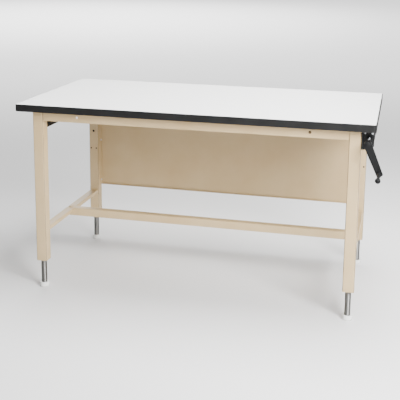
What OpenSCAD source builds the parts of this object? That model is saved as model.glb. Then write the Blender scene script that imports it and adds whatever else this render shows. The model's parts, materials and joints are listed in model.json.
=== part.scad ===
// Hand-cranked height-adjustable work table.
// Origin on the floor below the middle of the worktop, X to the right, Y to the back, Z up.

/* [Worktop] */
// Width of the worktop over its edge moulding
top_w = 1524; // [1200:1:1830]
// Depth of the worktop over its edge moulding
top_d = 762; // [600:1:920]
// Thickness of the particleboard core
core_t = 29.4; // [20:0.1:40]
// Thickness of the white laminate sheet
laminate_t = 1; // [0.6:0.1:2]
// Thickness of the backing sheet under the core
backer_t = 0.8; // [0.5:0.1:2]
// Radius of the worktop's corners in plan
corner_r = 12; // [8:0.5:60]
// Thickness of the edge moulding in front of the core
edge_t = 3.2; // [2.6:0.1:6]
// Radius of the moulding's two outer edges
edge_round = 2.4; // [1:0.1:2.6]
// Depth of the moulding's tongue
tongue_d = 9; // [5:0.5:12]
// Thickness of the moulding's tongue
tongue_t = 2.2; // [1.5:0.1:3]
// Height of the barbs on the tongue
barb_h = 0.5; // [0.2:0.1:1]

/* [Lift] */
// Height of the work surface above the floor, as stored
work_height = 844.55; // [800:0.05:880]
// Travel of the worktop from its stored height down to its lowest
lift_down = 82.55; // [40:0.05:95]
// Travel of the worktop from its stored height up to its highest
lift_up = 222.25; // [100:0.05:260]

/* [Legs] */
// Outside width of the square leg tube
leg_w = 47.8; // [44:0.1:60]
// Wall of the leg tube
leg_wall = 2.4; // [1.5:0.1:3]
// Outside corner radius of the leg tube
leg_corner_r = 5; // [3.5:0.5:8]
// Distance from the floor to the bottom of the legs, as stored
leg_floor_gap = 127.75; // [120:0.05:150]
// Distance from the worktop's end to the legs
end_overhang = 59.3; // [56:0.1:80]
// Distance from the worktop's front edge to the legs
front_overhang = 48.8; // [20:0.1:90]
// Distance from the worktop's back edge to the legs
rear_overhang = 14.2; // [5:0.1:60]
// Diameter of the hole in each back leg
leg_hole_d = 12; // [6:0.5:14]
// Distance from the worktop's underside to the hole in each back leg
leg_hole_drop = 228; // [150:1:260]

/* [Rails] */
// Sheet thickness of the formed rails
rail_t = 2.4; // [1.5:0.1:4]
// Outside bend radius of the formed rails
bend_r = 4; // [3:0.1:6]
// Height of the front and rear aprons
apron_h = 45.7; // [35:0.1:60]
// Width of the aprons' flanges
apron_flange = 30; // [20:0.5:40]
// Gap between the front apron's face and the legs
apron_gap = 2; // [0.5:0.1:4]
// Step of the front apron behind the face of the legs
apron_step = 1.2; // [0:0.1:4]
// Distance between the two holes in the front apron
apron_hole_gap = 998; // [600:1:1100]
// Diameter of the holes in the front apron
apron_hole_d = 10; // [5:0.1:12]
// Height of the end rails
end_rail_h = 83.3; // [60:0.1:100]
// Width of the end rails
end_rail_w = 40; // [30:0.5:44]
// Distance from the floor to the top of the crossbars and stretcher, as stored
base_top = 274; // [240:1:300]
// Width of the crossbars
crossbar_w = 38; // [30:0.5:44]
// Height of the crossbars
crossbar_h = 17; // [12:0.5:20]
// Width of the stretcher
stretcher_w = 38; // [34:0.5:60]
// Height of the stretcher
stretcher_h = 36; // [28:0.5:60]
// Distance of the stretcher in front of the middle of the leg frame
stretcher_shift = 3.3; // [-40:0.1:40]

/* [Modesty panel] */
// Distance from the floor to the bottom of the panel, as stored
panel_bottom = 296; // [284:1:400]
// Sheet thickness of the panel
panel_t = 1.5; // [1:0.1:3]
// Width of the panel's bent ends
panel_flange = 22; // [16:0.5:30]
// Width of the panel's bottom hem
panel_hem = 12; // [6:0.5:20]

/* [Cylinders] */
// Diameter of the polished rod
rod_d = 25; // [18:0.5:26]
// Bore of the cylinder
bore_d = 31; // [30:0.5:33]
// Outside diameter of the cylinder barrel
barrel_d = 37; // [35:0.5:40]
// Height of the piston
piston_h = 16; // [12:1:30]
// Length of the gland inside the barrel
gland_len = 20; // [15:1:40]
// Thickness of the gland's flange
gland_flange = 8; // [5:0.5:12]
// Height of the wiper ring under the gland
wiper_h = 3; // [2:0.5:4]
// Height of the cylinder's head block
head_h = 26; // [20:1:40]
// Distance between the two screws in each cylinder head
head_screw_gap = 27.8; // [18:0.1:28]

/* [Feet] */
// Diameter of the foot caps
foot_d = 43; // [34:0.5:60]
// Height of the foot caps
foot_h = 21; // [20:0.5:30]
// Thickness of the foot cap under the rod
foot_floor = 7; // [4:0.5:10]

/* [Pump] */
// Width of the pump bracket
pump_w = 47; // [44:0.5:50]
// Height of the pump bracket
pump_h = 100; // [92:1:120]
// Length of the pump body
pump_len = 236; // [220:1:300]
// Distance from the worktop's front edge to the pump bracket
pump_setback = 136; // [120:1:150]
// Gap between the leg frame's end and the pump bracket
pump_gap = 1.5; // [1:0.1:4]
// Thickness of the pump's two brackets
bracket_t = 3; // [2:0.5:5]
// Width of the brackets' top flanges
bracket_flange = 32; // [24:1:40]
// Corner cut off the bracket's lower outer corner
bracket_cut = 16; // [4:1:20]
// Length of the cheek that runs forward from the front bracket along the leg
cheek_len = 85; // [60:1:90]
// Height of the cheek at its front end
cheek_h = 80; // [60:1:90]
// Outside diameter of the drive sleeve in the pump
sleeve_d = 24; // [21:0.5:26]
// Diameter of the drive sleeve's nose in the bush
nose_d = 20; // [18.5:0.1:21]

/* [Crank] */
// Distance from the worktop's right end to the crank shaft
crank_inset = 30.4; // [28:0.1:33]
// Distance from the worktop's underside to the crank shaft
crank_drop = 46; // [40:0.1:52]
// Distance of the crank arm in front of the worktop, as stored
crank_reach = 10; // [6:0.5:30]
// Size of the hexagonal crank shaft across its flats
shaft_flats = 13; // [10:0.5:14]
// Radius from the shaft to the grip
crank_r = 117.5; // [90:0.5:150]
// Angle of the arm from straight down, as stored
crank_angle = 23.5; // [0:0.5:60]
// Thickness of the crank arm
arm_t = 6; // [4:0.5:10]
// Width of the arm at the shaft
arm_wide = 32; // [26:0.5:34]
// Width of the arm at the grip
arm_narrow = 25; // [18:0.5:28]
// Length of the arm past the grip's pin
arm_tail = 18; // [12:0.5:20]
// Length of the grip
grip_len = 126; // [80:1:140]
// Diameter of the grip's ball
ball_d = 22; // [18:0.5:30]
// Diameter of the grip's neck
neck_d = 11; // [10.5:0.5:16]
// Travel of the crank when it is pushed in under the worktop
stow_travel = 125; // [60:1:125]

/* [Fasteners] */
// Shank diameter of the worktop screws
screw_d = 4.5; // [3:0.5:6]
// Length of the worktop screws in the core
screw_bite = 17; // [12:1:18]
// Shank diameter of the frame bolts
bolt_d = 8; // [6:1:8]
// Shank diameter of the screws in the panel and the pump brackets
small_screw_d = 5; // [4:0.5:6]
// Shank diameter of the screws in the cylinder heads
head_screw_d = 4; // [3:0.5:5]

/* [Fits] */
// Radial clearance of running and sliding fits
run_gap = 0.05; // [0.02:0.01:0.1]
// Gap between parts that pass each other
pass_gap = 0.4; // [0.3:0.1:1]
// Radial clearance of screws and bolts in their holes
hole_gap = 0.25; // [0.1:0.05:0.5]

/* [Hidden] */
$fn = 64;

// Legs are named by their side, -1 left and 1 right, and their end, -1 front and 1 back.
front_left = [-1, -1];
front_right = [1, -1];
back_left = [-1, 1];
back_right = [1, 1];
all_legs = [front_left, front_right, back_left, back_right];

top_t = laminate_t + core_t + backer_t;
underside = work_height - top_t;
core_bottom = underside + backer_t;
core_w = top_w - 2 * edge_t;
core_d = top_d - 2 * edge_t;
core_r = corner_r - edge_t;

leg_x = top_w / 2 - end_overhang - leg_w / 2;
leg_front_y = -top_d / 2 + front_overhang + leg_w / 2;
leg_back_y = top_d / 2 - rear_overhang - leg_w / 2;
leg_inner = leg_w - 2 * leg_wall;
frame_mid_y = (leg_front_y + leg_back_y) / 2;
rail_w = 2 * leg_x - leg_w;
rail_d = leg_back_y - leg_front_y - leg_w;

wiper_step = 0.5;
gland_recess = wiper_h + wiper_step;
gland_seat = leg_floor_gap + gland_recess + gland_flange;
end_gap = 1;
piston_bottom = gland_seat + gland_len + end_gap + lift_up;
barrel_top = piston_bottom + piston_h + lift_down + end_gap;
head_mid = barrel_top + head_h / 2;
head_w = leg_inner - 2 * pass_gap;
head_screw_bite = 10;
rod_shoulder = 5.5;
spigot_d = rod_d - 2 * rod_shoulder;
seal_w = 4;
seal_depth = 2.5;
port_thread_d = 10;
port_bore_d = 5;
port_hex_d = 15;
port_stub_d = 9;
port_len = 16;
port_clear = 1;

foot_round = 4;
foot_taper = 2.5;
foot_lead = 1.5;

stretcher_y = frame_mid_y - stretcher_shift;
cope_x = leg_x - crossbar_w / 2 - pass_gap;
crossbar_bottom = base_top - crossbar_h;

panel_y = leg_back_y + leg_w / 2 - panel_t;
panel_top = underside - apron_h;
panel_screw_rows = 3;
panel_screw_margin = 24;

crank_x = top_w / 2 - crank_inset;
crank_z = underside - crank_drop;
pump_front_y = -top_d / 2 + pump_setback;
pump_x = leg_x + leg_w / 2 + pump_gap + pump_w / 2;
pump_top_gap = 5;
pump_body_h = pump_h - bracket_cut - pump_top_gap;
pump_side_gap = 1.5;
pump_body_w = pump_w - 2 * pump_side_gap;
pump_body_front = pump_front_y + bracket_t;
pump_back_y = pump_body_front + pump_len;
pump_round = 6;
flute_d = 5;
pump_screw_gap = 30;
pump_screw_drop = 30;
pump_screw_bite = 14;
head_room = 2;
bush_wall = 1.6;
bush_d = nose_d + 2 * bush_wall;
bush_flange_d = bush_d + 2 * bush_wall;
bush_flange_t = 4;
arm_back_y = -top_d / 2 - crank_reach;
arm_front_y = arm_back_y - arm_t;
shaft_tail = 70;
sleeve_wall_back = 6;
sleeve_len = shaft_tail + stow_travel + sleeve_wall_back + end_gap;
hub_step = 0.5;
hub_d = arm_wide - 2 * hub_step;
hub_len = 10;
cap_step = 2;
cap_d = hub_d - 2 * cap_step;
cap_t = 4.5;
cap_rim = 1.5;
pin_d = 6;
pin_head_d = 11;
pin_head_t = 3;
pin_recess_d = pin_head_d + 2 * pass_gap;
plug_lip = 1.2;
plug_d = pin_recess_d + 2 * plug_lip;
plug_len = 6;
pin_recess_z = grip_len - plug_len - pin_head_t - 2 * pass_gap;
ball_z = grip_len - ball_d / 2;
throat_d = 16;
throat_back = 16.5;
swell_len = 44;
collar_d = neck_d + 4;
collar_len = 8;

// Heads of the screws, bolts and nuts, in shank diameters
pan_head_d = 2;
pan_head_h = 0.7;
pan_rim_h = 0.2;
hex_head_d = 1.95;
hex_head_h = 0.65;
nut_h = 0.8;

// Outlines

module rounded_rect(w, d, r) {
    square([w - 2 * r, d], center = true);
    square([w, d - 2 * r], center = true);
    for (sx = [-1, 1], sy = [-1, 1])
        translate([sx * (w / 2 - r), sy * (d / 2 - r)]) circle(r);
}

// Formed channel, open towards +Y of the outline, with its web at y = 0
module channel(w, h, t, r) {
    translate([0, h]) difference() {
        rounded_rect(w, 2 * h, r);
        rounded_rect(w - 2 * t, 2 * (h - t), r - t);
        translate([0, h]) square([2 * w, 2 * h], center = true);
    }
}

module at_leg(leg) {
    translate([leg[0] * leg_x, leg[1] < 0 ? leg_front_y : leg_back_y, 0]) children();
}

// Domed disc on the XY plane: an upright rim with a crown on it
module dome(d, h, rim) {
    crown = h - rim;
    crown_r = (d * d / 4 + crown * crown) / (2 * crown);
    rotate_extrude() intersection() {
        square([d / 2, h]);
        translate([0, h - crown_r]) circle(crown_r);
    }
}

// Screws and bolts point along +Z, with the underside of the head at the origin
module pan_screw(d, len) {
    cylinder(d = d, h = len);
    rotate([180, 0, 0]) dome(pan_head_d * d, pan_head_h * d, pan_rim_h * d);
}

module hex_bolt(d, len) {
    cylinder(d = d, h = len);
    translate([0, 0, -hex_head_h * d]) cylinder(d = hex_head_d * d, h = hex_head_h * d, $fn = 6);
}

module hex_nut(d) difference() {
    cylinder(d = hex_head_d * d, h = nut_h * d, $fn = 6);
    translate([0, 0, -nut_h * d]) cylinder(d = d + 2 * run_gap, h = 3 * nut_h * d);
}

// Worktop

// Profiles of the edge moulding: x outwards from the core, y up from the worktop's underside
module edge_face() intersection() {
    square([edge_t, top_t]);
    translate([0, top_t / 2]) rounded_rect(2 * edge_t, top_t, edge_round);
}

module edge_tongue() translate([0, top_t / 2]) {
    translate([-tongue_d, -tongue_t / 2]) square([tongue_d, tongue_t]);
    for (x = [-tongue_d, -tongue_d / 2])
        polygon([[x, -tongue_t / 2], [x + barb_h, -tongue_t / 2 - barb_h],
                 [x + barb_h, tongue_t / 2 + barb_h], [x, tongue_t / 2]]);
}

// The tongue is notched away at the corners, so that the moulding bends round them
module edge_run(len) {
    linear_extrude(len) edge_face();
    translate([0, 0, tongue_d]) linear_extrude(len - 2 * tongue_d) edge_tongue();
}

module edge_moulding() color("#1d1d1f") translate([0, 0, underside]) {
    straight_w = top_w - 2 * corner_r;
    straight_d = top_d - 2 * corner_r;
    for (turn = [0, 180]) rotate(turn) {
        translate([core_w / 2, straight_d / 2, 0]) rotate([90, 0, 0]) edge_run(straight_d);
        translate([-straight_w / 2, core_d / 2, 0]) rotate([90, 0, 90]) edge_run(straight_w);
        for (side = [-1, 1])
            translate([side * straight_w / 2, straight_d / 2, 0]) rotate(side > 0 ? 0 : 90)
                rotate_extrude(angle = 90) translate([core_r, 0]) edge_face();
    }
}

// Places of the worktop screws: along both aprons and both end rails
function apron_screw_xs() = [for (k = [-1.5:1:1.5]) k * rail_w / 4];
function end_screw_ys() = [for (k = [-1, 1]) frame_mid_y + k * rail_d / 4];
apron_screw_in = apron_flange / 2;
worktop_screw_spots = concat(
    [for (x = apron_screw_xs()) [x, leg_front_y - leg_w / 2 + apron_step + apron_screw_in]],
    [for (x = apron_screw_xs()) [x, leg_back_y + leg_w / 2 - panel_t - apron_screw_in]],
    [for (side = [-1, 1], y = end_screw_ys()) [side * (leg_x - leg_w / 2 + end_rail_w / 2), y]]);
bracket_screw_xs = [for (side = [-1, 1]) pump_x + side * pump_screw_gap / 2];
bracket_screw_ys = [pump_body_front + bracket_flange / 2, pump_back_y - bracket_flange / 2];
bracket_screw_spots = [for (x = bracket_screw_xs, y = bracket_screw_ys) [x, y]];

module worktop_screw_holes(z, depth)
    for (spot = concat(worktop_screw_spots, bracket_screw_spots))
        translate([spot[0], spot[1], z]) cylinder(d = screw_d + 2 * run_gap, h = depth);

module worktop_core() color("#b9996b") difference() {
    translate([0, 0, core_bottom]) linear_extrude(core_t) rounded_rect(core_w, core_d, core_r);
    groove_t = tongue_t + 2 * barb_h;
    groove_d = tongue_d + end_gap;
    groove_r = max(core_r - groove_d, pass_gap);
    translate([0, 0, underside + top_t / 2 - groove_t / 2]) linear_extrude(groove_t) difference() {
        square([2 * core_w, 2 * core_d], center = true);
        rounded_rect(core_w - 2 * groove_d, core_d - 2 * groove_d, groove_r);
    }
    worktop_screw_holes(core_bottom - end_gap, screw_bite + 2 * end_gap);
}

module worktop_laminate() color("#eef0f0")
    translate([0, 0, work_height - laminate_t]) linear_extrude(laminate_t)
        rounded_rect(core_w, core_d, core_r);

module worktop_backer() color("#8d8a84") difference() {
    translate([0, 0, underside]) linear_extrude(backer_t) rounded_rect(core_w, core_d, core_r);
    worktop_screw_holes(underside - end_gap, backer_t + 2 * end_gap);
}

module worktop_screws() color("#b8bbc0") {
    screw_len = screw_bite + backer_t + rail_t;
    for (spot = worktop_screw_spots)
        translate([spot[0], spot[1], underside - rail_t]) pan_screw(screw_d, screw_len);
    for (spot = bracket_screw_spots)
        translate([spot[0], spot[1], underside - bracket_t]) pan_screw(screw_d, screw_len);
}

// Leg frame

// The face of a leg that carries the cylinder's screws looks into the frame
function inward(leg) = -leg[1];

module leg(leg) color("#e3cfa9") at_leg(leg) difference() {
    translate([0, 0, leg_floor_gap]) linear_extrude(underside - leg_floor_gap) difference() {
        rounded_rect(leg_w, leg_w, leg_corner_r);
        rounded_rect(leg_inner, leg_inner, leg_corner_r - leg_wall);
    }
    for (side = [-1, 1]) translate([side * head_screw_gap / 2, 0, head_mid])
        rotate([-90 * inward(leg), 0, 0]) cylinder(d = head_screw_d + 2 * hole_gap, h = leg_w);
    if (leg[1] > 0) translate([0, 0, underside - leg_hole_drop])
        rotate([90, 0, 0]) cylinder(d = leg_hole_d, h = leg_w);
}

// Aprons run between the legs, with their flanges turned into the frame
module apron_bar() {
    rotate([90, 0, 90]) translate([0, 0, -rail_w / 2]) linear_extrude(rail_w)
        rotate(-90) channel(apron_h, apron_flange, rail_t, bend_r);
}

module apron_screw_holes(y) for (x = apron_screw_xs())
    translate([x, y, underside - 2 * rail_t]) cylinder(d = screw_d + 2 * hole_gap, h = 3 * rail_t);

// The front apron's flanges reach the legs, and its face stops short of them
module front_apron() color("#e3cfa9") difference() {
    face_y = leg_front_y - leg_w / 2 + apron_step;
    translate([0, face_y, underside - apron_h / 2]) apron_bar();
    apron_screw_holes(face_y + apron_screw_in);
    for (side = [-1, 1]) translate([side * apron_hole_gap / 2, face_y - end_gap, underside - apron_h / 2])
        rotate([-90, 0, 0]) cylinder(d = apron_hole_d, h = rail_t + 2 * end_gap);
    for (side = [-1, 1]) translate([side * rail_w / 2, face_y, underside - apron_h / 2])
        cube([2 * apron_gap, 3 * rail_t, apron_h - 2 * bend_r], center = true);
}

module rear_apron() color("#e3cfa9") difference() {
    face_y = panel_y;
    translate([0, face_y, underside - apron_h / 2]) rotate(180) apron_bar();
    apron_screw_holes(face_y - apron_screw_in);
}

// End rails are flush with the legs' inner faces and open outwards
module end_rail(side) color("#232325") difference() {
    translate([side * (leg_x - leg_w / 2), frame_mid_y, underside - end_rail_h / 2])
        rotate([90, 0, 0]) translate([0, 0, -rail_d / 2]) linear_extrude(rail_d)
            rotate(-90 * side) channel(end_rail_h, end_rail_w, rail_t, bend_r);
    screw_x = side * (leg_x - leg_w / 2 + end_rail_w / 2);
    for (y = end_screw_ys()) translate([screw_x, y, underside - 2 * rail_t])
        cylinder(d = screw_d + 2 * hole_gap, h = 3 * rail_t);
}

// Two bolts at each end hold the stretcher to its crossbar
stretcher_bolt_gap = stretcher_w - 2 * bend_r - hex_head_d * bolt_d;
module at_stretcher_bolts(z) for (side = [-1, 1], k = [-0.5, 0.5])
    translate([side * leg_x, stretcher_y + k * stretcher_bolt_gap, z]) children();

module crossbar(side) color("#e3cfa9") difference() {
    translate([side * leg_x, frame_mid_y, base_top]) rotate([90, 0, 0])
        translate([0, 0, -rail_d / 2]) linear_extrude(rail_d)
            rotate(180) channel(crossbar_w, crossbar_h, rail_t, bend_r);
    at_stretcher_bolts(base_top - 2 * rail_t) cylinder(d = bolt_d + 2 * hole_gap, h = 3 * rail_t);
}

// The stretcher's ends are cut away under the crossbars, where a welded plate takes the bolts
module stretcher() color("#e3cfa9") {
    length = 2 * leg_x + crossbar_w;
    difference() {
        translate([-length / 2, stretcher_y, base_top]) rotate([90, 0, 90])
            linear_extrude(length) rotate(180) channel(stretcher_w, stretcher_h, rail_t, bend_r);
        for (side = [-1, 1])
            translate([side * (cope_x + length / 2), stretcher_y, crossbar_bottom + stretcher_h / 2])
                cube([length, 2 * stretcher_w, stretcher_h], center = true);
    }
    plate_w = length / 2 - cope_x;
    difference() {
        for (side = [-1, 1])
            translate([side * (length / 2 - plate_w / 2), stretcher_y, crossbar_bottom - rail_t / 2])
                cube([plate_w, stretcher_w - rail_t, rail_t], center = true);
        at_stretcher_bolts(crossbar_bottom - 2 * rail_t) cylinder(d = bolt_d + 2 * hole_gap, h = 3 * rail_t);
    }
}

module stretcher_bolts() color("#b8bbc0") {
    bolt_len = crossbar_h + rail_t + bolt_d + head_room;
    at_stretcher_bolts(base_top) rotate([180, 0, 0]) hex_bolt(bolt_d, bolt_len);
    at_stretcher_bolts(crossbar_bottom - rail_t) rotate([180, 0, 0]) hex_nut(bolt_d);
}

// Modesty panel

panel_screw_step = (panel_top - panel_bottom - 2 * panel_screw_margin) / (panel_screw_rows - 1);
module at_panel_screws() for (side = [-1, 1], row = [0:panel_screw_rows - 1])
    translate([side * (rail_w / 2 - panel_t), panel_y + panel_t - panel_flange / 2,
               panel_bottom + panel_screw_margin + row * panel_screw_step])
        rotate([0, 90 * side, 0]) children();

module modesty_panel() color("#d8c096") difference() {
    panel_bend = 2 * panel_t;
    union() {
        translate([0, panel_y + panel_t, panel_bottom]) linear_extrude(panel_top - panel_bottom)
            rotate(180) channel(rail_w, panel_flange, panel_t, panel_bend);
        hem_w = rail_w - 2 * panel_bend;
        for (z = [panel_bottom, panel_top - panel_t])
            translate([-hem_w / 2, panel_y + panel_t - panel_hem, z]) cube([hem_w, panel_hem, panel_t]);
    }
    at_panel_screws() translate([0, 0, -panel_t])
        cylinder(d = small_screw_d + 2 * hole_gap, h = 3 * panel_t);
}

module panel_screws() color("#b8bbc0") at_panel_screws() pan_screw(small_screw_d, panel_t);

// Lifting cylinders

module cylinder_barrel(leg) color("#3a3b3d") at_leg(leg) difference() {
    union() {
        translate([0, 0, gland_seat]) cylinder(d = barrel_d, h = barrel_top - gland_seat);
        translate([0, 0, barrel_top]) linear_extrude(head_h)
            rounded_rect(head_w, head_w, leg_corner_r - leg_wall);
    }
    translate([0, 0, gland_seat - end_gap]) cylinder(d = bore_d, h = barrel_top - gland_seat + end_gap);
    translate([0, 0, barrel_top - end_gap]) cylinder(d = port_bore_d, h = head_h + 2 * end_gap);
    translate([0, 0, barrel_top + head_h / 2]) cylinder(d = port_thread_d, h = head_h);
    for (side = [-1, 1]) translate([side * head_screw_gap / 2, 0, head_mid])
        rotate([-90 * inward(leg), 0, 0]) translate([0, 0, head_w / 2 - head_screw_bite - end_gap])
            cylinder(d = head_screw_d + 2 * run_gap, h = head_w);
}

module cylinder_screws() color("#2b2b2d") for (leg = all_legs) at_leg(leg)
    for (side = [-1, 1]) translate([side * head_screw_gap / 2, inward(leg) * leg_w / 2, head_mid])
        rotate([90 * inward(leg), 0, 0]) pan_screw(head_screw_d, leg_wall + pass_gap + head_screw_bite);

// Hose port: its thread below the origin, its hexagon and stub above
module hose_port(thread_len) difference() {
    union() {
        translate([0, 0, -thread_len]) cylinder(d = port_thread_d - 2 * run_gap, h = thread_len);
        cylinder(d = port_hex_d, h = port_len / 2, $fn = 6);
        cylinder(d = port_stub_d, h = port_len);
    }
    translate([0, 0, -2 * thread_len]) cylinder(d = port_bore_d, h = 2 * thread_len + 2 * port_len);
}

module cylinder_ports() color("#c9a552") for (leg = all_legs) at_leg(leg)
    translate([0, 0, barrel_top + head_h]) hose_port(head_h / 2);

module gland(leg) color("#b08d4f") at_leg(leg) difference() {
    union() {
        translate([0, 0, leg_floor_gap + gland_recess]) linear_extrude(gland_flange)
            rounded_rect(head_w, head_w, leg_corner_r - leg_wall);
        translate([0, 0, gland_seat]) cylinder(d = bore_d - 2 * run_gap, h = gland_len);
    }
    translate([0, 0, leg_floor_gap])
        cylinder(d = rod_d + 2 * run_gap, h = gland_recess + gland_flange + 2 * gland_len);
}

module wiper_rings() color("#1b1b1c") for (leg = all_legs) at_leg(leg)
    translate([0, 0, leg_floor_gap + gland_recess - wiper_h]) difference() {
        cylinder(d = bore_d, h = wiper_h);
        translate([0, 0, -wiper_h]) cylinder(d = rod_d + 2 * run_gap, h = 3 * wiper_h);
    }

module rod(leg) color("#d5d8dc") at_leg(leg) {
    translate([0, 0, foot_floor]) cylinder(d = rod_d, h = piston_bottom - foot_floor);
    translate([0, 0, piston_bottom]) cylinder(d = spigot_d, h = piston_h);
}

module piston(leg) color("#8f9296") at_leg(leg) translate([0, 0, piston_bottom]) difference() {
    cylinder(d = bore_d - 2 * run_gap, h = piston_h);
    translate([0, 0, -end_gap]) cylinder(d = spigot_d + 2 * run_gap, h = piston_h + 2 * end_gap);
    translate([0, 0, piston_h / 2 - seal_w / 2]) difference() {
        cylinder(d = 2 * bore_d, h = seal_w);
        cylinder(d = bore_d - 2 * seal_depth, h = seal_w);
    }
}

module foot(leg) color("#f2f2ee") at_leg(leg) {
    shoulder_d = foot_d - 2 * foot_taper;
    difference() {
        rotate_extrude() union() {
            square([foot_d / 2 - foot_round, foot_h]);
            translate([foot_d / 2 - foot_round, foot_round]) circle(foot_round);
            polygon([[foot_d / 2 - foot_round, foot_round], [foot_d / 2, foot_round],
                     [shoulder_d / 2, foot_h], [foot_d / 2 - foot_round, foot_h]]);
        }
        translate([0, 0, foot_floor]) cylinder(d = rod_d + 2 * run_gap, h = foot_h);
        translate([0, 0, foot_h - foot_lead])
            cylinder(d1 = rod_d, d2 = rod_d + 4 * foot_lead, h = 2 * foot_lead);
    }
}

// Pump

module bracket_plate() difference() {
    translate([pump_x - pump_w / 2, underside - pump_h]) square([pump_w, pump_h]);
    translate([pump_x + pump_w / 2, underside - pump_h]) rotate(45)
        square(sqrt(2) * bracket_cut, center = true);
}

module bracket_flange_plate(y, back) difference() {
    translate([pump_x - pump_w / 2, back ? y - bracket_flange : y, underside - bracket_t])
        cube([pump_w, bracket_flange, bracket_t]);
    screw_y = back ? y - bracket_flange / 2 : y + bracket_flange / 2;
    for (x = bracket_screw_xs) translate([x, screw_y, underside - 2 * bracket_t])
        cylinder(d = screw_d + 2 * hole_gap, h = 3 * bracket_t);
}

module at_pump_screws(y) for (x = bracket_screw_xs)
    translate([x, y, underside - pump_screw_drop]) rotate([-90, 0, 0]) children();

module along_shaft(y) translate([crank_x, y, crank_z]) rotate([-90, 0, 0]) children();

module pump_front_bracket() color("#1b1b1d") {
    difference() {
        translate([0, pump_body_front, 0]) rotate([90, 0, 0]) linear_extrude(bracket_t) bracket_plate();
        along_shaft(pump_front_y - end_gap) cylinder(d = bush_d, h = bracket_t + 2 * end_gap);
        at_pump_screws(pump_front_y - end_gap)
            cylinder(d = small_screw_d + 2 * hole_gap, h = bracket_t + 2 * end_gap);
    }
    bracket_flange_plate(pump_body_front, false);
    translate([pump_x - pump_w / 2, pump_front_y, underside]) rotate([90, 0, 90]) linear_extrude(bracket_t)
        polygon([[0, 0], [-cheek_len, 0], [-cheek_len, -cheek_h], [0, -pump_h]]);
}

module pump_rear_bracket() color("#1b1b1d") {
    difference() {
        translate([0, pump_back_y + bracket_t, 0]) rotate([90, 0, 0])
            linear_extrude(bracket_t) bracket_plate();
        for (spot = pump_port_spots) translate([spot[0], pump_back_y - end_gap, spot[1]])
            rotate([-90, 0, 0]) cylinder(d = port_thread_d + 2 * port_clear, h = bracket_t + 2 * end_gap);
        at_pump_screws(pump_back_y - end_gap)
            cylinder(d = small_screw_d + 2 * hole_gap, h = bracket_t + 2 * end_gap);
    }
    bracket_flange_plate(pump_back_y, true);
}

pump_bottom = underside - pump_top_gap - pump_body_h;
pump_port_spots = [for (sx = [-1, 1], sz = [0, 1])
    [pump_x + sx * pump_body_w / 4, pump_bottom + pump_body_h * (1 + sz) / 5]];

module pump_body() color("#202123") difference() {
    translate([0, pump_back_y, 0]) rotate([90, 0, 0]) linear_extrude(pump_len) difference() {
        translate([pump_x, pump_bottom + pump_body_h / 2])
            rounded_rect(pump_body_w, pump_body_h, pump_round);
        // Two shallow flutes run along each side of the housing
        for (side = [-1, 1], k = [-1, 1])
            translate([pump_x + side * pump_body_w / 2, pump_bottom + pump_body_h / 2 + k * pump_body_h / 5])
                circle(d = flute_d);
    }
    // Room for the bracket screws' heads
    pocket_h = pan_head_h * screw_d + head_room;
    for (spot = bracket_screw_spots) translate([spot[0], spot[1], underside - bracket_t - pocket_h])
        cylinder(d = pan_head_d * screw_d + 2 * head_room, h = pocket_h);
    along_shaft(pump_body_front - end_gap) cylinder(d = sleeve_d + 2 * run_gap, h = sleeve_len + 2 * end_gap);
    for (y = [pump_body_front - end_gap, pump_back_y - pump_screw_bite - end_gap])
        at_pump_screws(y) cylinder(d = small_screw_d + 2 * run_gap, h = pump_screw_bite + 2 * end_gap);
    for (spot = pump_port_spots) translate([spot[0], pump_back_y, spot[1]])
        rotate([90, 0, 0]) cylinder(d = port_thread_d, h = port_len);
}

module pump_bush() color("#18181a") along_shaft(pump_body_front) difference() {
    union() {
        translate([0, 0, -bracket_t - bush_flange_t]) cylinder(d = bush_flange_d, h = bush_flange_t);
        translate([0, 0, -bracket_t]) cylinder(d = bush_d - 2 * run_gap, h = bracket_t);
    }
    translate([0, 0, -bracket_t - 2 * bush_flange_t])
        cylinder(d = nose_d + 2 * run_gap, h = bracket_t + 3 * bush_flange_t);
}

module pump_screws() color("#c3c6ca") {
    screw_len = bracket_t + pump_screw_bite;
    at_pump_screws(pump_front_y) pan_screw(small_screw_d, screw_len);
    at_pump_screws(pump_back_y + bracket_t) rotate([180, 0, 0]) pan_screw(small_screw_d, screw_len);
}

module pump_ports() color("#c9a552") for (spot = pump_port_spots)
    translate([spot[0], pump_back_y + bracket_t, spot[1]]) rotate([-90, 0, 0])
        hose_port(port_len - end_gap + bracket_t);

// Drive and crank

module hex_bar(flats, len) rotate(30) cylinder(d = flats / cos(30), h = len, $fn = 6);

module drive_sleeve() color("#2b2b2d") along_shaft(pump_body_front) difference() {
    union() {
        cylinder(d = sleeve_d, h = sleeve_len);
        translate([0, 0, -bracket_t - bush_flange_t]) cylinder(d = nose_d, h = bracket_t + 2 * bush_flange_t);
    }
    translate([0, 0, -bracket_t - 2 * bush_flange_t])
        hex_bar(shaft_flats + 4 * run_gap, sleeve_len - sleeve_wall_back + bracket_t + 2 * bush_flange_t);
}

module crank_shaft() color("#d5d8dc") along_shaft(arm_front_y)
    hex_bar(shaft_flats, pump_body_front + shaft_tail - arm_front_y);

// Turns its children to the arm's stored angle, with the arm pointing along -Z
module along_arm() translate([crank_x, 0, crank_z]) rotate([0, -crank_angle, 0]) children();

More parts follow.
